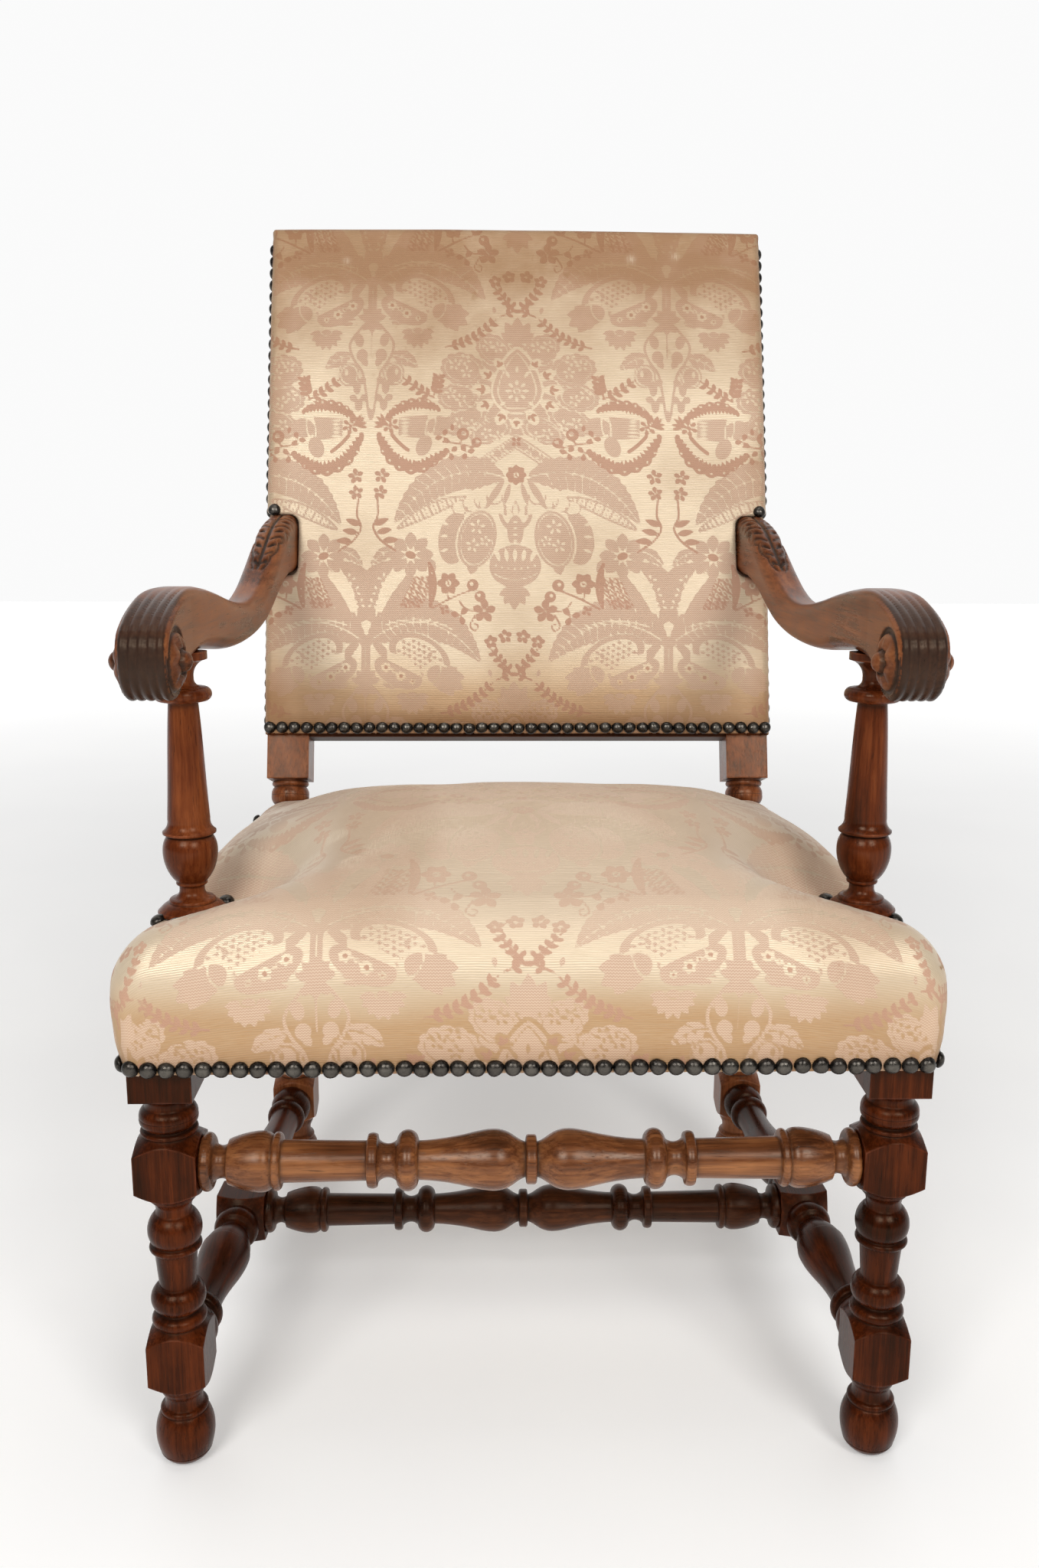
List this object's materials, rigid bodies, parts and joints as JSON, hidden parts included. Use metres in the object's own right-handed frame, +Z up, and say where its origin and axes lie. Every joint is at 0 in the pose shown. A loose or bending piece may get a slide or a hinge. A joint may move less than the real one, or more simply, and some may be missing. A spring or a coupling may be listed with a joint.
{
  "type": "open-arm chair",
  "caption": "Open-arm chair with a turned walnut frame, scrolled arms, high raked stuffed back and stuffed-over seat in damask edged with round-headed nails.",
  "frame": {"origin": "middle of the overall box in X and Y, at floor level", "axes": "+Z up, +X to the right as seen from the front, +Y from the front towards the back"},
  "size_m": [0.636, 0.7614, 1.0786],
  "materials": {
    "walnut": "satin polish, worn on the high edges",
    "beech": "raw, sawn",
    "damask": "satin ground with a woven floral figure",
    "plain_cloth": "plain weave",
    "webbing": "coarse jute",
    "hessian": "open plain weave",
    "hair_stuffing": "packed curled hair",
    "nail_bronze": "dark antique patina, rubbed bright on top"
  },
  "bodies": {
    "root": {"front_leg_left": "walnut", "front_leg_right": "walnut", "rear_post_left": "walnut", "rear_post_right": "walnut", "front_stretcher": "walnut", "side_stretcher_left": "walnut", "side_stretcher_right": "walnut", "cross_stretcher": "walnut", "arm_left": "walnut", "arm_right": "walnut", "arm_support_left": "walnut", "arm_support_right": "walnut", "seat_rail_front": "beech", "seat_rail_back": "beech", "seat_rail_left": "beech", "seat_rail_right": "beech", "back_rail_top": "beech", "back_rail_bottom": "beech", "seat_cover": "damask", "back_cover": "damask", "back_outer_cover": "plain_cloth", "seat_webbing": "webbing", "back_webbing": "webbing", "seat_base_cloth": "hessian", "back_base_cloth": "hessian", "seat_stuffing": "hair_stuffing", "back_stuffing": "hair_stuffing", "seat_nails": "nail_bronze", "arm_base_nails": "nail_bronze", "back_nails": "nail_bronze"}
  },
  "joints": []
}
